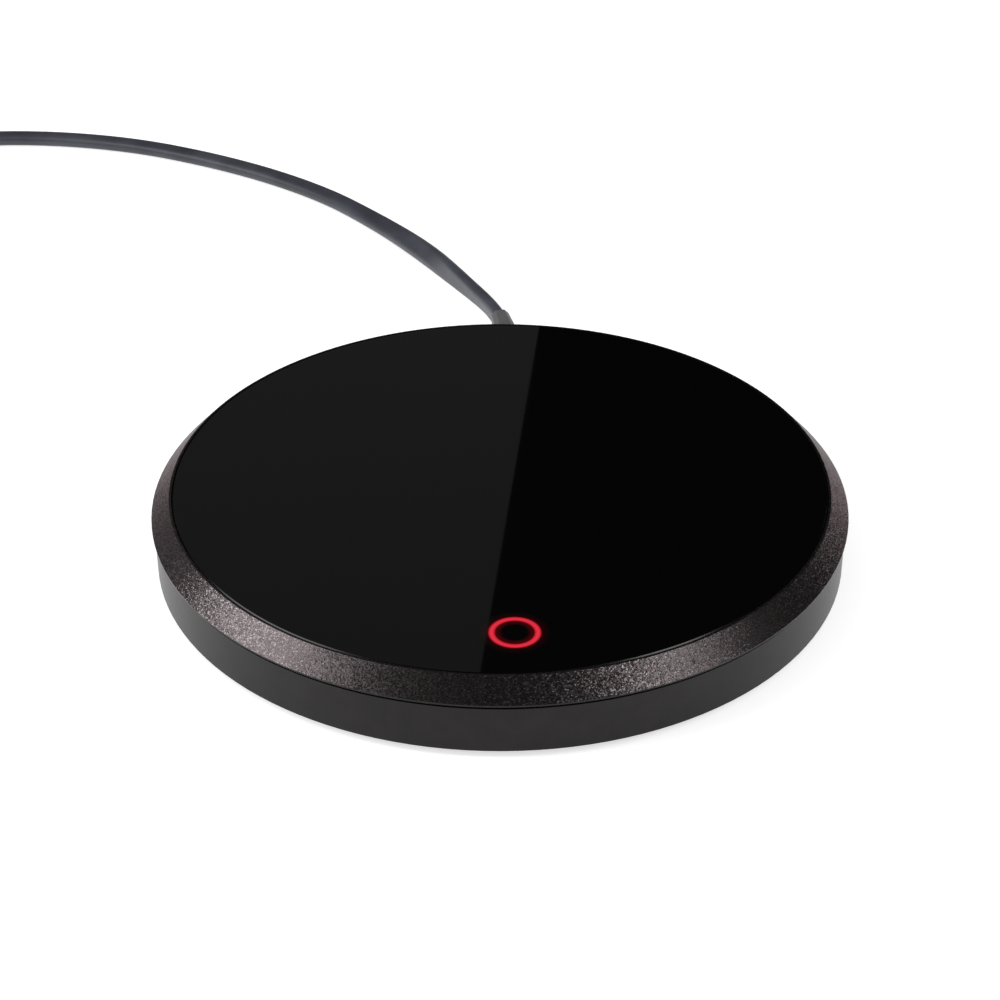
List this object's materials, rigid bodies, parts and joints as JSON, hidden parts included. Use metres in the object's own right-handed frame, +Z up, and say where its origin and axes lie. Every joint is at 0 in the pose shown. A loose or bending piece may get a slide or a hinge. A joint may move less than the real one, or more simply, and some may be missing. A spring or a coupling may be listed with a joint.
{
  "type": "electric mug warmer",
  "caption": "Round low electric mug warmer with a flush black glass plate in a bevelled ring, a lit touch-down indicator, a spring-borne top and a coiled flat cord.",
  "frame": {"origin": "centre of the round body, on the surface that the four feet stand on", "axes": "+Z up through the glass, -Y towards the lit ring at the front, +Y towards the cord"},
  "size_m": [0.2593, 0.2559, 0.015],
  "materials": {
    "base_plastic": "smooth matt dark grey moulded plastic",
    "bezel_paint": "dark metallic paint with fine bright flakes on a moulded ring",
    "black_glass": "polished black tempered glass, printed black underneath",
    "seal_rubber": "matt silicone",
    "spreader_aluminium": "rolled sheet",
    "heater_laminate": "amber film laminate",
    "insulation_felt": "white fibre felt",
    "carrier_plastic": "glass-filled black plastic",
    "light_guide": "clear diffusing plastic, lit red",
    "fuse_case": "drawn metal can",
    "sensor_glass": "coated bead",
    "screw_steel": "zinc-plated steel",
    "spring_steel": "drawn spring wire",
    "foot_rubber": "matt rubber",
    "board_laminate": "green solder mask on glass-epoxy",
    "component_black": "moulded component body",
    "capacitor_case": "yellow potted box",
    "capacitor_can": "sleeved aluminium can",
    "led_package": "white package with clear lens",
    "lead_insulation": "silicone lead insulation",
    "cord_jacket": "smooth vinyl jacket, slightly sheeny",
    "tie_strap": "flat plastic strap",
    "plug_plastic": "moulded vinyl",
    "blade_brass": "nickel-free brass blades",
    "plunger_plastic": "ivory acetal"
  },
  "bodies": {
    "base": {"base_shell": "base_plastic", "foot_1": "foot_rubber", "foot_2": "foot_rubber", "foot_3": "foot_rubber", "foot_4": "foot_rubber", "return_spring_1": "spring_steel", "return_spring_2": "spring_steel", "return_spring_3": "spring_steel", "return_spring_4": "spring_steel", "circuit_board": "board_laminate", "board_screws": "screw_steel", "controller_chip": "component_black", "heater_triac": "component_black", "film_capacitor": "capacitor_case", "smoothing_capacitor": "capacitor_can", "switch_body": "component_black", "indicator_leds": "led_package", "heater_leads": "lead_insulation", "mains_leads": "lead_insulation", "cord_tail": "cord_jacket", "cord_clamp": "carrier_plastic", "clamp_screws": "screw_steel", "strain_relief": "cord_jacket", "mains_cord": "cord_jacket", "cord_coil": "cord_jacket", "cord_tie": "tie_strap", "plug_cord": "cord_jacket", "plug_body": "plug_plastic", "plug_blades": "blade_brass"},
    "top": {"bezel_ring": "bezel_paint", "glass_plate": "black_glass", "glass_seal": "seal_rubber", "heat_spreader": "spreader_aluminium", "heater_element": "heater_laminate", "insulation_pad": "insulation_felt", "thermal_fuse": "fuse_case", "temperature_sensor": "sensor_glass", "top_carrier": "carrier_plastic", "carrier_screws": "screw_steel", "stop_screws": "screw_steel", "light_guide": "light_guide"},
    "plunger": {"switch_plunger": "plunger_plastic"}
  },
  "joints": [
    {"name": "top_press", "type": "slide", "parent": "base", "child": "top", "axis": [0, 0, -1], "range_m": [0, 0.0006], "stiffness_N_per_m": 1300, "springref_m": -0.0018, "deforming": ["return_spring_1", "return_spring_2", "return_spring_3", "return_spring_4", "heater_leads"]},
    {"name": "switch_press", "type": "slide", "parent": "base", "child": "plunger", "axis": [0, 0, -1], "range_m": [0, 0.0005]}
  ],
  "couplings": [
    {"joint": "switch_press", "follows": "top_press", "ratio": 0.83333}
  ]
}
